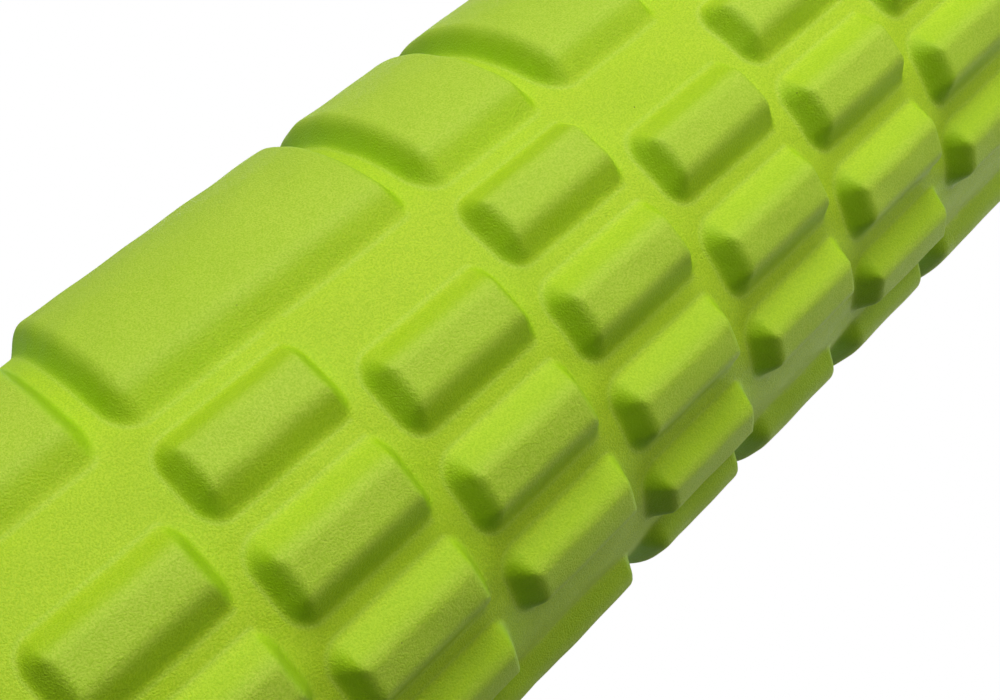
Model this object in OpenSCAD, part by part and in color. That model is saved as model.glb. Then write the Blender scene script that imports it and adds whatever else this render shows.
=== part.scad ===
// Hollow-core massage roller: a rigid tube in a sleeve of moulded EVA foam.
// The roller stands on end. The origin is the centre of its bottom end, +Z runs along its axis,
// and +X points at the middle of the first zone of small blocks. Millimetres throughout.

/* [Roller] */
// Length from end to end
roller_length = 330; // [320:1:600]
// Diameter over the tops of the blocks
roller_diameter = 125; // [118:1:140]
// How far the blocks stand above the valley floor
block_height = 4.7; // [3:0.1:6]
// Chamfer around both ends of the foam
end_chamfer = 1; // [0.5:0.1:2]

/* [Block rows] */
// Distance from one row of blocks to the next
row_pitch = 35.8; // [35:0.1:36.5]
// Length of a block of one row, along the roller at its foot
block_length = 31.8; // [28:0.1:33.8]
// How far the sides of a block lean in from foot to top
side_run = 5.3; // [3:0.1:5.5]
// How far the lower end of a block leans in from foot to top
lower_end_run = 4.1; // [2:0.1:5.5]
// How far the steeper upper end of a block leans in from foot to top
upper_end_run = 2.2; // [2:0.1:5.5]

/* [Small blocks] */
// Small blocks that would fit round the roller, which sets their spacing
blocks_per_turn = 16; // [15:1:17]
// Width of a small block around the roller, at its foot
small_width = 17.7; // [15:0.1:18.5]

/* [Large blocks] */
// Angle that a large block covers, at its foot
large_angle = 85; // [80:1:86]

/* [Core] */
// Inside diameter of the core tube
core_bore = 88; // [80:0.5:89]
// Wall of the core tube
core_wall = 3.5; // [2.5:0.1:3.5]
// Chamfer on the edges of the tube's ends
core_chamfer = 0.8; // [0.4:0.1:1]
// Thickness of the adhesive between tube and foam
bond_thickness = 0.25; // [0.15:0.05:0.4]

/* [Hidden] */
$fn = 96;

TOP_R = roller_diameter / 2;
VALLEY_R = TOP_R - block_height;
CORE_R = core_bore / 2;
TUBE_R = CORE_R + core_wall;
FOAM_BORE_R = TUBE_R + bond_thickness;

// Rows are numbered from the bottom, 0 to LAST_ROW, and centred on the roller's length.
LAST_ROW = 8;
FIRST_ROW_Z = (roller_length - LAST_ROW * row_pitch - block_length) / 2;
// Each large block is written as its first and last row: two of them run over two rows.
LARGE_ROWS = [[0, 0], [1, 2], [3, 3], [4, 4], [5, 5], [6, 7], [8, 8]];
// Rows of four small blocks lie between rows of three, half a step to the side.
ROWS_OF_FOUR = [for (row = [1 : 2 : LAST_ROW]) [row, row]];
ROWS_OF_THREE = [for (row = [0 : 2 : LAST_ROW]) [row, row]];
FOUR_STEPS = [-1.5 : 1 : 1.5];
THREE_STEPS = [-1 : 1 : 1];

// Zones of small blocks face +X and -X, and large blocks face +Y and -Y.
ZONES = [0, 180];
STEP_ANGLE = 360 / blocks_per_turn;
SMALL_HALF = degrees_of(small_width / 2);
LEAN_ANGLE = degrees_of(side_run);
// The sloping faces are drawn on past the foot and the top of a block by this share of the slope.
OVERRUN = 0.25;
// Radius well outside the roller, where the wedges that cut the blocks end.
FAR_R = 2 * TOP_R;

function degrees_of(arc) = arc / VALLEY_R * 180 / PI;
function at(radius, angle) = radius * [cos(angle), sin(angle)];
// The point that lies past b on the line from a to b.
function past(a, b) = b + (b - a) * OVERRUN;

// Wedge across the roller that keeps a block's width, with its two sloping sides.
module block_wedge(half_angle) {
    foot_right = at(VALLEY_R, -half_angle);
    foot_left = at(VALLEY_R, half_angle);
    top_right = at(TOP_R, LEAN_ANGLE - half_angle);
    top_left = at(TOP_R, half_angle - LEAN_ANGLE);
    polygon([
        [0, 0],
        past(top_right, foot_right),
        past(foot_right, top_right),
        at(FAR_R, LEAN_ANGLE - half_angle),
        at(FAR_R, 0),
        at(FAR_R, half_angle - LEAN_ANGLE),
        past(foot_left, top_left),
        past(top_left, foot_left)
    ]);
}

// Rings that keep the blocks' lengths, one for each first and last row, with sloping ends.
module block_rings(rows) {
    rotate_extrude()
        for (row = rows) {
            low = FIRST_ROW_Z + row[0] * row_pitch;
            high = FIRST_ROW_Z + row[1] * row_pitch + block_length;
            foot_low = [VALLEY_R, low];
            foot_high = [VALLEY_R, high];
            top_low = [TOP_R, low + lower_end_run];
            top_high = [TOP_R, high - upper_end_run];
            polygon([past(top_low, foot_low), top_low, top_high, past(top_high, foot_high)]);
        }
}

// Blocks of one kind: where the rings and the wedges meet.
module blocks(rows, half_angle, steps, first_angle) {
    intersection() {
        block_rings(rows);
        linear_extrude(roller_length)
            for (zone = ZONES, step = steps)
                rotate(first_angle + zone + step * STEP_ANGLE)
                    block_wedge(half_angle);
    }
}

// Plain foam tube up to the valley floor, with chamfered ends.
module foam_body() {
    rotate_extrude()
        polygon([
            [FOAM_BORE_R, 0],
            [VALLEY_R - end_chamfer, 0],
            [VALLEY_R, end_chamfer],
            [VALLEY_R, roller_length - end_chamfer],
            [VALLEY_R - end_chamfer, roller_length],
            [FOAM_BORE_R, roller_length]
        ]);
}

module foam_sleeve() {
    color("YellowGreen")
        union() {
            foam_body();
            blocks(ROWS_OF_FOUR, SMALL_HALF, FOUR_STEPS, 0);
            blocks(ROWS_OF_THREE, SMALL_HALF, THREE_STEPS, 0);
            blocks(LARGE_ROWS, large_angle / 2, [0], 90);
        }
}

module bond_layer() {
    color("Khaki")
        difference() {
            cylinder(r = FOAM_BORE_R, h = roller_length);
            translate([0, 0, -1])
                cylinder(r = TUBE_R, h = roller_length + 2);
        }
}

module core_tube() {
    color("DimGray")
        rotate_extrude()
            polygon([
                [CORE_R + core_chamfer, 0],
                [TUBE_R, 0],
                [TUBE_R, roller_length],
                [CORE_R + core_chamfer, roller_length],
                [CORE_R, roller_length - core_chamfer],
                [CORE_R, core_chamfer]
            ]);
}

core_tube();
bond_layer();
foam_sleeve();
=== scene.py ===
"""Looks of the foam massage roller: moulded foam sleeve, adhesive and core tube, in a pale studio."""
import math

import bpy
import numpy as np
from mathutils import Matrix, Vector


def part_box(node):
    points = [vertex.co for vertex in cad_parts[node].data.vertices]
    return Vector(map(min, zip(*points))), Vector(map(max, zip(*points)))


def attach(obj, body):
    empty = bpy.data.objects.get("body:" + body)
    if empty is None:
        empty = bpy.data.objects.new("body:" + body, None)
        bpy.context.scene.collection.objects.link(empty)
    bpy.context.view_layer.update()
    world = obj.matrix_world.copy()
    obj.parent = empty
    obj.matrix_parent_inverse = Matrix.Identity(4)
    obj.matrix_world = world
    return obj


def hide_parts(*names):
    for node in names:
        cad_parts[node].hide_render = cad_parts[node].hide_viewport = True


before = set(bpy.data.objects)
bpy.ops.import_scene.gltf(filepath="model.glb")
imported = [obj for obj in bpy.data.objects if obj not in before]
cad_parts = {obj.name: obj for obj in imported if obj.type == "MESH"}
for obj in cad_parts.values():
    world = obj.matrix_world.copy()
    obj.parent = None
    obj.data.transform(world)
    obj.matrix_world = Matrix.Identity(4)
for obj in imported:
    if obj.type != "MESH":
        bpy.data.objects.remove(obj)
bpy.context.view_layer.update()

MM = 0.001

# ---- Sizes, in millimetres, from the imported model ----
sleeve_low, sleeve_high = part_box("foam_sleeve")
core_low, core_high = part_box("core_tube")
bond_low, bond_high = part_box("bond_layer")
LENGTH = (sleeve_high.z - sleeve_low.z) / MM
TOP_R = sleeve_high.x / MM
TUBE_R = core_high.x / MM
FOAM_BORE_R = bond_high.x / MM
CORE_WALL = 3.5
CORE_R = TUBE_R - CORE_WALL

# ---- The block pattern, the same design as the CAD's ----
BLOCK_HEIGHT = 4.7
VALLEY_R = TOP_R - BLOCK_HEIGHT
ROW_PITCH = 35.8
BLOCK_LENGTH = 31.8
LAST_ROW = 8
FIRST_ROW_Z = (LENGTH - LAST_ROW * ROW_PITCH - BLOCK_LENGTH) / 2
LONG_PAIRS = ((1, 2), (6, 7))
STEP_ANGLE = math.radians(22.5)
SMALL_WIDTH = 17.7
LARGE_HALF = math.radians(42.5)
# How far a block's sides, lower end and steeper upper end lean in from foot to top.
SMALL_SIDE_RUN, LARGE_SIDE_RUN = 5.1, 5.6
LOWER_END_RUN, UPPER_END_RUN = 4.1, 2.2
# Corner radii in plan, and how softly foot and top are rounded.
SMALL_CORNER, LARGE_CORNER = 5.4, 7.5
SMALL_TOP_ROUND, LARGE_TOP_ROUND = 1.4, 2.0
FOOT_ROUND = 0.9
END_ROUND = 1.2
# Where the painted highlight line along a block's foot lies (a distance inside the foot) and how far it
# spreads.
FOOT_LINE, FOOT_SPREAD = -0.7, 0.4


def smooth_min(a, b, k):
    """The lesser of a and b, rounded over a width k where they cross."""
    mix = np.clip(0.5 + 0.5 * (b - a) / k, 0, 1)
    return b + (a - b) * mix - k * mix * (1 - mix)


def inside_block(along, across, half_length, half_width, side_run, corner):
    """How far inside a block's foot, measured as on its sides; the ends count by their own slopes."""
    from_lower = (along + half_length) * side_run / LOWER_END_RUN
    from_upper = (half_length - along) * side_run / UPPER_END_RUN
    end_beyond = corner - np.minimum(from_lower, from_upper)
    side_beyond = corner - (half_width - np.abs(across))
    round_corner = np.hypot(np.maximum(end_beyond, 0), np.maximum(side_beyond, 0))
    return corner - round_corner - np.minimum(np.maximum(end_beyond, side_beyond), 0)


def block_rise(distance, run, top_round):
    """Height of a block's surface above the valley, by distance inside its foot."""
    ramp = distance * BLOCK_HEIGHT / run
    capped = smooth_min(ramp, BLOCK_HEIGHT + 0 * ramp, top_round)
    return -smooth_min(-capped, 0 * capped, FOOT_ROUND)


def wrapped(angle):
    """The angle brought between -pi and pi."""
    return (angle + math.pi) % (2 * math.pi) - math.pi


def row_at(z):
    """Number of the block row at a height, counted from the bottom."""
    half_gap = (ROW_PITCH - BLOCK_LENGTH) / 2
    return np.clip(np.floor((z - FIRST_ROW_Z + half_gap) / ROW_PITCH), 0, LAST_ROW)


def inside_small(theta, z):
    """How far inside a small block's foot. Zones face +X and -X: four in odd rows, three in even rows."""
    row = row_at(z)
    middle = FIRST_ROW_Z + row * ROW_PITCH + BLOCK_LENGTH / 2
    zone = np.where(np.abs(wrapped(theta)) < math.pi / 2, 0, math.pi)
    steps = wrapped(theta - zone) / STEP_ANGLE
    shift = np.where(row % 2 == 1, 0.5, 0.0)
    most = np.where(row % 2 == 1, 1.5, 1.0)
    nearest = np.clip(np.round(steps - shift) + shift, -most, most)
    across = (steps - nearest) * STEP_ANGLE * VALLEY_R
    half_length, half_width = BLOCK_LENGTH / 2, SMALL_WIDTH / 2
    return inside_block(z - middle, across, half_length, half_width, SMALL_SIDE_RUN, SMALL_CORNER)


def inside_large(theta, z):
    """How far inside a large block's foot. Columns face +Y and -Y, one block to a row or pair of rows."""
    row = row_at(z)
    middle = FIRST_ROW_Z + row * ROW_PITCH + BLOCK_LENGTH / 2
    half_length = BLOCK_LENGTH / 2 + 0 * middle
    for first, last in LONG_PAIRS:
        joined = (row == first) | (row == last)
        middle[joined] = FIRST_ROW_Z + (first + last) / 2 * ROW_PITCH + BLOCK_LENGTH / 2
        half_length[joined] = (BLOCK_LENGTH + ROW_PITCH) / 2
    side = np.where(wrapped(theta) > 0, math.pi / 2, -math.pi / 2)
    across = wrapped(theta - side) * VALLEY_R
    half_width = LARGE_HALF * VALLEY_R
    return inside_block(z - middle, across, half_length, half_width, LARGE_SIDE_RUN, LARGE_CORNER)


def unevenness(theta, z):
    """Slight waviness of the soft moulded skin, the same each time."""
    rng = np.random.default_rng(11)
    steepest = 2 * math.pi / 14
    total = 0 * theta
    for _ in range(28):
        turns = rng.integers(-36, 37)
        wave = rng.uniform(-steepest, steepest)
        size = rng.uniform(0.006, 0.022)
        total = total + size * np.sin(turns * theta + wave * z + rng.uniform(0, 2 * math.pi))
    return total


def spaced(start, stop, step):
    """Evenly spaced values from start up to, not including, stop, about step apart."""
    count = max(1, round((stop - start) / step))
    return list(np.linspace(start, stop, count, endpoint=False))


# Spacing of the sleeve's vertices on slopes and edges, on flats, and on the plain rings at the ends.
FINE, COARSE, PLAIN = 0.5, 1.5, 1.2
# How far the fine spacing reaches in from a block's end, in from its side, and past the outer rows.
END_REACH, SIDE_REACH, OUTER_REACH = 8.5, 10, 1.5


def ring_heights():
    """Heights of the rings of vertices on the moulded surface: close together at block ends."""
    z = FIRST_ROW_Z - OUTER_REACH
    heights = spaced(END_ROUND, z, PLAIN)
    for row in range(LAST_ROW + 1):
        low = FIRST_ROW_Z + row * ROW_PITCH
        heights += spaced(z, low + END_REACH, FINE)
        z = low + BLOCK_LENGTH - END_REACH
        heights += spaced(low + END_REACH, z, COARSE)
    last = LENGTH - FIRST_ROW_Z + OUTER_REACH
    heights += spaced(z, last, FINE)
    heights += spaced(last, LENGTH - END_ROUND, PLAIN) + [LENGTH - END_ROUND]
    return np.array(heights)


def ring_angles():
    """Angles of the columns of vertices: close together except over the middle of large blocks."""
    flat_half = LARGE_HALF - SIDE_REACH / VALLEY_R
    angles = []
    for side in (math.pi / 2, 3 * math.pi / 2):
        angles += spaced(side - math.pi + flat_half, side - flat_half, FINE / VALLEY_R)
        angles += spaced(side - flat_half, side + flat_half, COARSE / VALLEY_R)
    return np.array(angles)


def mesh_object(name, points, faces):
    """A smooth-shaded mesh object from points in metres and quads."""
    mesh = bpy.data.meshes.new(name)
    mesh.vertices.add(len(points))
    mesh.vertices.foreach_set("co", points.astype(np.float32).ravel())
    mesh.loops.add(faces.size)
    mesh.loops.foreach_set("vertex_index", faces.astype(np.int32).ravel())
    mesh.polygons.add(len(faces))
    mesh.polygons.foreach_set("loop_start", np.arange(0, faces.size, 4, dtype=np.int32))
    mesh.polygons.foreach_set("use_smooth", np.ones(len(faces), bool))
    mesh.update()
    mesh.validate()
    made = bpy.data.objects.new(name, mesh)
    bpy.context.scene.collection.objects.link(made)
    return made


def closed_rings(count, around):
    """Quads that join each ring of vertices to the next and the last to the first."""
    ring = np.arange(count)[:, None]
    step = np.arange(around)[None, :]
    next_ring, next_step = (ring + 1) % count, (step + 1) % around
    corners = [ring * around + step, ring * around + next_step]
    corners += [next_ring * around + next_step, next_ring * around + step]
    return np.stack(corners, -1).reshape(-1, 4)


def ring_points(radius, theta, z):
    """Points in metres from arrays of radius, angle and height in millimetres."""
    return (np.stack([radius * np.cos(theta), radius * np.sin(theta), z], -1) * MM).reshape(-1, 3)


def add_attribute(piece, name, values):
    """Stores one number a vertex for the material to read."""
    made = piece.data.attributes.new(name, "FLOAT", "POINT")
    made.data.foreach_set("value", values.astype(np.float32).ravel())


def rounded_edge(z_edge, sign, count=5):
    """Points (inset, z) that round the outer edge of an end, from the side towards the end face."""
    turn = np.linspace(0, math.pi / 2, count + 1)[1:]
    return [(END_ROUND * (1 - math.cos(t)), z_edge + sign * END_ROUND * math.sin(t)) for t in turn]


def make_sleeve():
    """The foam sleeve as one closed skin: moulded outside, cut ends and the bore glued to the tube."""
    angles = ring_angles()
    theta, z = np.meshgrid(angles, ring_heights())
    small, large = inside_small(theta, z), inside_large(theta, z)
    small_rise = block_rise(small, SMALL_SIDE_RUN, SMALL_TOP_ROUND)
    height = np.maximum(small_rise, block_rise(large, LARGE_SIDE_RUN, LARGE_TOP_ROUND))
    # Steepness along the roller, which the material uses to paint shade on the blocks' ends.
    end_slope = np.clip(np.abs(np.gradient(height, axis=0) / np.gradient(z, axis=0)), 0, 1)
    # foot: where a pale painted highlight line runs just inside each block's foot.
    foot = np.exp(-(((np.maximum(small, large) - FOOT_LINE) / FOOT_SPREAD) ** 2))
    # The painted highlight line doesn't run along the blocks' upper ends.
    above_end = (z - FIRST_ROW_Z) % ROW_PITCH - BLOCK_LENGTH
    foot[(above_end > -1.5) & (above_end < 2.5)] = 0
    radius = VALLEY_R + height + unevenness(theta, z)
    # Each ring holds its radius and height, then rise, cut, foot (the painted highlight line) and end_slope
    # (for painted shade on steep ends) for the material.
    rings = [(r, z_here, h, 0, f, e) for r, z_here, h, f, e in zip(radius, z, height, foot, end_slope)]
    for inset, edge_z in rounded_edge(LENGTH - END_ROUND, 1):
        rings.append((radius[-1] - inset, edge_z, 0, 0, 0, 0))
    face_radii = np.linspace(VALLEY_R - 2 * END_ROUND, FOAM_BORE_R, 6)
    rings += [(r, LENGTH, 0, 1, 0, 0) for r in face_radii]
    rings += [(FOAM_BORE_R, z_here, 0, 1, 0, 0) for z_here in np.linspace(LENGTH, 0, 20)[1:-1]]
    rings += [(r, 0, 0, 1, 0, 0) for r in face_radii[::-1]]
    for inset, edge_z in reversed(rounded_edge(END_ROUND, -1)):
        rings.append((radius[0] - inset, edge_z, 0, 0, 0, 0))
    blank = 0 * angles
    columns = (np.array([ring[k] + blank for ring in rings]) for k in range(6))
    all_r, all_z, rise, cut, foot, end_slope = columns
    sleeve = mesh_object("foam_sleeve_moulded", ring_points(all_r, angles, all_z), closed_rings(*all_r.shape))
    add_attribute(sleeve, "rise", rise / BLOCK_HEIGHT)
    add_attribute(sleeve, "cut", cut)
    add_attribute(sleeve, "foot", foot)
    add_attribute(sleeve, "end_slope", end_slope)
    return sleeve


# ---- Materials ----
class Shader:
    """A node material with short calls for the patterns used here."""

    def __init__(self, name):
        self.material = bpy.data.materials.new(name)
        self.material.use_nodes = True
        self.tree = self.material.node_tree
        self.surface = self.tree.nodes["Principled BSDF"]
        self.place = self.node("ShaderNodeTexCoord").outputs["Object"]

    def node(self, kind, inputs=(), **settings):
        made = self.tree.nodes.new(kind)
        for key, value in settings.items():
            setattr(made, key, value)
        for key, value in dict(inputs).items():
            self.put(made.inputs[key], value)
        return made

    def put(self, socket, value):
        if isinstance(value, bpy.types.NodeSocket):
            self.tree.links.new(value, socket)
        else:
            socket.default_value = value

    def noise(self, size, detail=2.0, roughness=0.5, stretch=(1, 1, 1)):
        """Noise with features about size millimetres across, longer along an axis by stretch."""
        scale = tuple(1 / (size * MM * s) for s in stretch)
        mapped = self.node("ShaderNodeMapping", {"Vector": self.place, "Scale": scale}).outputs[0]
        inputs = {"Vector": mapped, "Scale": 1.0, "Detail": detail, "Roughness": roughness}
        return self.node("ShaderNodeTexNoise", inputs).outputs["Fac"]

    def cells(self, size):
        """Distance to the nearest of scattered points about size millimetres apart."""
        inputs = {"Vector": self.place, "Scale": 1 / (size * MM)}
        return self.node("ShaderNodeTexVoronoi", inputs).outputs["Distance"]

    def attribute(self, name):
        return self.node("ShaderNodeAttribute", attribute_name=name).outputs["Fac"]

    def range(self, value, from_low, from_high, to_low=0.0, to_high=1.0, smooth=False):
        inputs = {"Value": value, "From Min": from_low, "From Max": from_high}
        inputs |= {"To Min": to_low, "To Max": to_high}
        kind = "SMOOTHSTEP" if smooth else "LINEAR"
        return self.node("ShaderNodeMapRange", inputs, interpolation_type=kind).outputs["Result"]

    def math(self, operation, a, b=0.0):
        return self.node("ShaderNodeMath", {0: a, 1: b}, operation=operation).outputs[0]

    def mix(self, factor, a, b):
        """Colour b over colour a, by factor."""
        made = self.node("ShaderNodeMix", data_type="RGBA")
        sockets = (("Factor_Float", factor), ("A_Color", a), ("B_Color", b))
        by_name = {socket.identifier: socket for socket in made.inputs}
        for name, value in sockets:
            self.put(by_name[name], value)
        return next(socket for socket in made.outputs if socket.identifier == "Result_Color")

    def bump(self, height, depth, strength=1.0, normal=None):
        """Bump from a height of 0 to 1, where 1 stands depth millimetres proud."""
        inputs = {"Height": height, "Distance": depth * MM, "Strength": strength}
        if normal is not None:
            inputs["Normal"] = normal
        return self.node("ShaderNodeBump", inputs).outputs["Normal"]


# Foam colours: each is the base where its name says, or a tint mixed over the others in patterns.
VALLEY_GREEN = (0.635, 0.87, 0.030, 1)
TOP_GREEN = (0.625, 0.85, 0.070, 1)
# Deep green is the foam's broad tone, grain and cut cells, and also the painted shade on block slopes and
# steep block ends.
DEEP_GREEN = (0.36, 0.66, 0.002, 1)
PALE_GREEN = (0.62, 0.78, 0.10, 1)
# The pale colour of the painted highlight along the blocks' feet.
FOOT_HIGHLIGHT_GREEN = (0.72, 0.93, 0.13, 1)
CUT_GREEN = (0.55, 0.72, 0.10, 1)
SPECK_GREEN = (0.06, 0.10, 0.008, 1)


def foam_material():
    """Matt lime green EVA: a fine-grained moulded skin, duller on block tops, with open cells where cut;
    painted shade deepens the slopes and steep block ends, and a painted highlight runs pale along the feet.
    """
    s = Shader("eva_foam")
    rise, cut = s.attribute("rise"), s.attribute("cut")
    broad, mottle, grain = s.noise(26, 3), s.noise(2.2, 3, 0.6), s.noise(0.38, 2, 0.6)
    on_top = s.range(rise, 0.55, 0.97, smooth=True)
    above_foot, below_top = s.range(rise, 0.06, 0.3, smooth=True), s.range(rise, 0.95, 0.7, smooth=True)
    slope_shade = s.math("MULTIPLY", above_foot, below_top)
    colour = s.mix(on_top, VALLEY_GREEN, TOP_GREEN)
    # Painted shade: block slopes are mixed towards deep green.
    colour = s.mix(s.math("MULTIPLY", slope_shade, 0.22), colour, DEEP_GREEN)
    # Painted shade: the steep block ends are mixed further towards deep green.
    colour = s.mix(s.math("MULTIPLY", s.attribute("end_slope"), 0.6), colour, DEEP_GREEN)
    # Painted highlight: a pale line along the blocks' feet.
    colour = s.mix(s.math("MULTIPLY", s.attribute("foot"), 0.5), colour, FOOT_HIGHLIGHT_GREEN)
    colour = s.mix(s.range(broad, 0.35, 0.7, 0.0, 0.16), colour, DEEP_GREEN)
    colour = s.mix(s.range(mottle, 0.35, 0.75, 0.0, 0.16), colour, PALE_GREEN)
    colour = s.mix(s.range(grain, 0.38, 0.62, 0.0, 0.55), colour, DEEP_GREEN)
    cells = s.cells(0.9)
    colour = s.mix(cut, colour, s.mix(s.range(cells, 0.1, 0.6, 0.0, 0.5), CUT_GREEN, DEEP_GREEN))
    speck = s.math("MULTIPLY", s.range(s.cells(7), 0.030, 0.018), s.range(s.noise(9, 0), 0.52, 0.56))
    colour = s.mix(s.math("MULTIPLY", speck, 0.8), colour, SPECK_GREEN)
    s.put(s.surface.inputs["Base Color"], colour)
    roughness = s.math("ADD", s.range(mottle, 0.3, 0.7, 0.50, 0.62), s.math("MULTIPLY", on_top, 0.05))
    s.put(s.surface.inputs["Roughness"], s.math("ADD", roughness, s.math("MULTIPLY", cut, 0.2)))
    s.put(s.surface.inputs["Specular IOR Level"], 0.25)
    soft = s.bump(s.noise(3.2, 2), 0.10, 0.5)
    skin = s.bump(grain, 0.17, 1.0, soft)
    pitted = s.bump(cells, 0.25, s.math("MULTIPLY", cut, 0.6), skin)
    s.put(s.surface.inputs["Normal"], pitted)
    return s.material


def core_material():
    """Black ABS tube: satin, with fine lines along it from the die, faint scuffs and a little dust."""
    s = Shader("black_abs")
    lines = s.noise(0.5, 2, 0.6, stretch=(1, 1, 60))
    scuffs = s.noise(7, 4, 0.65)
    dust = s.math("MULTIPLY", s.range(s.noise(1.1, 1), 0.60, 0.70), s.range(scuffs, 0.45, 0.65))
    colour = s.mix(s.range(scuffs, 0.3, 0.7), (0.011, 0.011, 0.012, 1), (0.026, 0.026, 0.028, 1))
    colour = s.mix(s.math("MULTIPLY", dust, 0.35), colour, (0.16, 0.16, 0.15, 1))
    s.put(s.surface.inputs["Base Color"], colour)
    roughness = s.math("ADD", s.range(lines, 0.3, 0.7, 0.30, 0.42), s.math("MULTIPLY", dust, 0.2))
    s.put(s.surface.inputs["Roughness"], roughness)
    soft = s.bump(s.noise(12, 2), 0.15, 0.4)
    s.put(s.surface.inputs["Normal"], s.bump(lines, 0.03, 0.5, soft))
    return s.material


def adhesive_material():
    """Cured contact adhesive: a thin amber film, glossy and lumpy."""
    s = Shader("amber_adhesive")
    lumps = s.noise(1.4, 3, 0.6)
    colour = s.mix(s.range(lumps, 0.3, 0.7), (0.50, 0.36, 0.10, 1), (0.66, 0.54, 0.24, 1))
    s.put(s.surface.inputs["Base Color"], colour)
    s.put(s.surface.inputs["Roughness"], s.range(lumps, 0.3, 0.7, 0.18, 0.35))
    s.put(s.surface.inputs["Normal"], s.bump(lumps, 0.08, 0.7))
    return s.material


def make_lathe(name, outline, segments=256):
    """A closed ring turned from an outline of (radius, height) points; either may vary with angle."""
    angles = np.linspace(0, 2 * math.pi, segments, endpoint=False)
    radius = np.array([r + 0 * angles for r, _ in outline])
    height = np.array([z + 0 * angles for _, z in outline])
    return mesh_object(name, ring_points(radius, angles, height), closed_rings(*radius.shape))


def make_core():
    """The tube: its inner edges are eased over the CAD's chamfer, and its outer edges are sharp."""
    ease = 0.8
    arc = np.linspace(0, math.pi / 2, 6)
    lower = [(CORE_R + ease * (1 - math.sin(t)), ease * (1 - math.cos(t))) for t in arc]
    bore = [(CORE_R, z) for z in np.linspace(ease, LENGTH - ease, 24)[1:-1]]
    upper = [(r, LENGTH - z) for r, z in reversed(lower)]
    outside = [(TUBE_R, z) for z in np.linspace(LENGTH, 0, 24)]
    return make_lathe("core_tube_drawn", lower + bore + upper + outside)


def make_adhesive(segments=256):
    """The film between tube and foam; its ends stop a little short of the roller's, unevenly."""
    angles = np.linspace(0, 2 * math.pi, segments, endpoint=False)
    rng = np.random.default_rng(5)
    dip = 0.35 + 0 * angles
    for turns in (3, 7, 11, 19, 31):
        dip = dip + rng.uniform(0.02, 0.06) * np.sin(turns * angles + rng.uniform(0, 2 * math.pi))
    inner = [(TUBE_R, z) for z in (dip, *np.linspace(3, LENGTH - 3, 12), LENGTH - dip)]
    outer = [(FOAM_BORE_R, z) for z in (LENGTH - dip, *np.linspace(LENGTH - 3, 3, 12), dip)]
    return make_lathe("adhesive_film", inner[::-1] + outer[::-1], segments)


def place(piece, material, node, slot):
    """Gives a piece its material and hides the CAD node it stands for; slot is not used. All ride on the one
    body.
    """
    piece.data.materials.append(material)
    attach(piece, "root")
    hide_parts(node)


sleeve = make_sleeve()
place(sleeve, foam_material(), "foam_sleeve", "eva_foam")
place(make_core(), core_material(), "core_tube", "core_plastic")
place(make_adhesive(), adhesive_material(), "bond_layer", "adhesive")


# ---- Camera: close to the foot of the roller, looking up along it ----
CAMERA_FROM_AXIS = 276.06
CAMERA_AZIMUTH = -20.33
CAMERA_HEIGHT = 7.95
CAMERA_HEADING = 158.64
CAMERA_PITCH = 23.07
CAMERA_ROLL = 48.65
CAMERA_LENS = 47.33


def make_camera():
    data = bpy.data.cameras.new("camera")
    data.sensor_width = 36
    data.lens = CAMERA_LENS
    data.clip_start = 0.005
    camera = bpy.data.objects.new("camera", data)
    azimuth = math.radians(CAMERA_AZIMUTH)
    place = Vector((math.cos(azimuth), math.sin(azimuth), 0)) * CAMERA_FROM_AXIS
    place.z = CAMERA_HEIGHT
    turn = Matrix.Rotation(math.radians(CAMERA_HEADING - 90), 4, "Z")
    turn @= Matrix.Rotation(math.radians(90 + CAMERA_PITCH), 4, "X")
    turn @= Matrix.Rotation(math.radians(CAMERA_ROLL), 4, "Z")
    camera.matrix_world = Matrix.Translation(place * MM) @ turn
    bpy.context.scene.collection.objects.link(camera)
    bpy.context.scene.camera = camera


make_camera()


# ---- Light: soft boxes round the roller, and a white backdrop behind it as the camera sees it ----
LIGHT_DISTANCE = 1.6
LIGHTS_AIM = Vector((0, 0, 0.14))


def soft_box(name, azimuth, elevation, spread, strength, distance=LIGHT_DISTANCE):
    """A round soft box, spread degrees wide as seen from the roller; strength is its irradiance there."""
    data = bpy.data.lights.new(name, "AREA")
    data.shape = "DISK"
    data.size = 2 * distance * math.tan(math.radians(spread / 2))
    data.energy = strength * math.pi * distance**2
    light = bpy.data.objects.new(name, data)
    a, e = math.radians(azimuth), math.radians(elevation)
    way = Vector((math.cos(a) * math.cos(e), math.sin(a) * math.cos(e), math.sin(e)))
    light.location = LIGHTS_AIM + way * distance
    light.rotation_euler = way.to_track_quat("Z", "Y").to_euler()
    light.visible_camera = False
    bpy.context.scene.collection.objects.link(light)


# Azimuth, elevation and spread in degrees, then strength, and a distance where it isn't the usual one.
LIGHTS = {
    "key": (-60, 14, 36, 1.36),
    "low_left": (-62, 4, 22, 0.50),
    "low_right": (-30, 4, 20, 0.57),
    "near": (-10, 40, 36, 0.36, 0.45),
    "rim": (90, 40, 50, 0.73),
    "back": (180, 30, 36, 0.60),
}
for light_name, setting in LIGHTS.items():
    soft_box(light_name, *setting)


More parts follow.
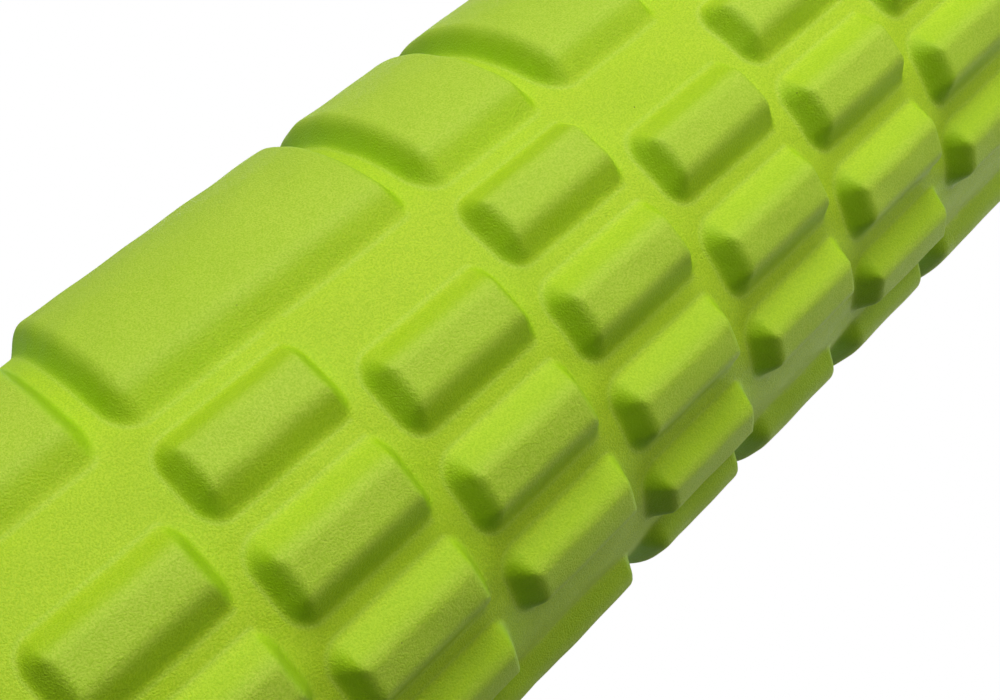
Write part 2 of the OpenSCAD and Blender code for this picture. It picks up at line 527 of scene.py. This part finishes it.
def make_floor():
    """A plain pale floor, which glows faintly and more so far away, where the soft boxes don't reach."""
    size = 3
    mesh = bpy.data.meshes.new("floor")
    corners = [(-size, -size, 0), (size, -size, 0), (size, size, 0), (-size, size, 0)]
    mesh.from_pydata(corners, [], [(0, 1, 2, 3)])
    floor = bpy.data.objects.new("floor", mesh)
    bpy.context.scene.collection.objects.link(floor)
    s = Shader("floor")
    colour = s.mix(s.noise(400, 2), (0.83, 0.83, 0.83, 1), (0.86, 0.86, 0.855, 1))
    s.put(s.surface.inputs["Base Color"], colour)
    s.put(s.surface.inputs["Roughness"], 0.7)
    s.put(s.surface.inputs["Emission Color"], (1, 1, 1, 1))
    away = s.node("ShaderNodeVectorMath", {0: s.place}, operation="LENGTH").outputs["Value"]
    s.put(s.surface.inputs["Emission Strength"], s.range(away, 0.4, 1.6, 0.35, 1.0))
    floor.data.materials.append(s.material)
    # The roller is lit by the soft boxes alone, with no light thrown back up by the floor.
    floor.visible_diffuse = False
    floor.visible_glossy = False


make_floor()


# Strength of the light from the room in front of the roller, and from the backdrop behind it.
AMBIENT, BACKDROP = 0.06, 0.5


def make_world():
    """White to the camera; for light, a white backdrop behind the roller that fades to a dim room."""
    world = bpy.data.worlds.new("studio")
    bpy.context.scene.world = world
    world.use_nodes = True
    tree = world.node_tree
    white = tree.nodes["Background"]
    white.inputs["Color"].default_value = (1, 1, 1, 1)
    lit = tree.nodes.new("ShaderNodeBackground")
    direction = tree.nodes.new("ShaderNodeTexCoord")
    ahead = tree.nodes.new("ShaderNodeVectorMath")
    ahead.operation = "DOT_PRODUCT"
    ahead.inputs[1].default_value = tuple(-(bpy.context.scene.camera.matrix_world.col[2].xyz))
    fade = tree.nodes.new("ShaderNodeMapRange")
    fade.interpolation_type = "SMOOTHSTEP"
    fade_range = {"From Min": 0.0, "From Max": 0.7, "To Min": AMBIENT, "To Max": BACKDROP}
    for key, value in fade_range.items():
        fade.inputs[key].default_value = value
    rays = tree.nodes.new("ShaderNodeLightPath")
    mix = tree.nodes.new("ShaderNodeMixShader")
    tree.links.new(direction.outputs["Generated"], ahead.inputs[0])
    tree.links.new(ahead.outputs["Value"], fade.inputs["Value"])
    tree.links.new(fade.outputs["Result"], lit.inputs["Strength"])
    tree.links.new(rays.outputs["Is Camera Ray"], mix.inputs[0])
    tree.links.new(lit.outputs[0], mix.inputs[1])
    tree.links.new(white.outputs[0], mix.inputs[2])
    tree.links.new(mix.outputs[0], tree.nodes["World Output"].inputs["Surface"])
    bpy.context.scene.view_settings.view_transform = "Standard"


make_world()
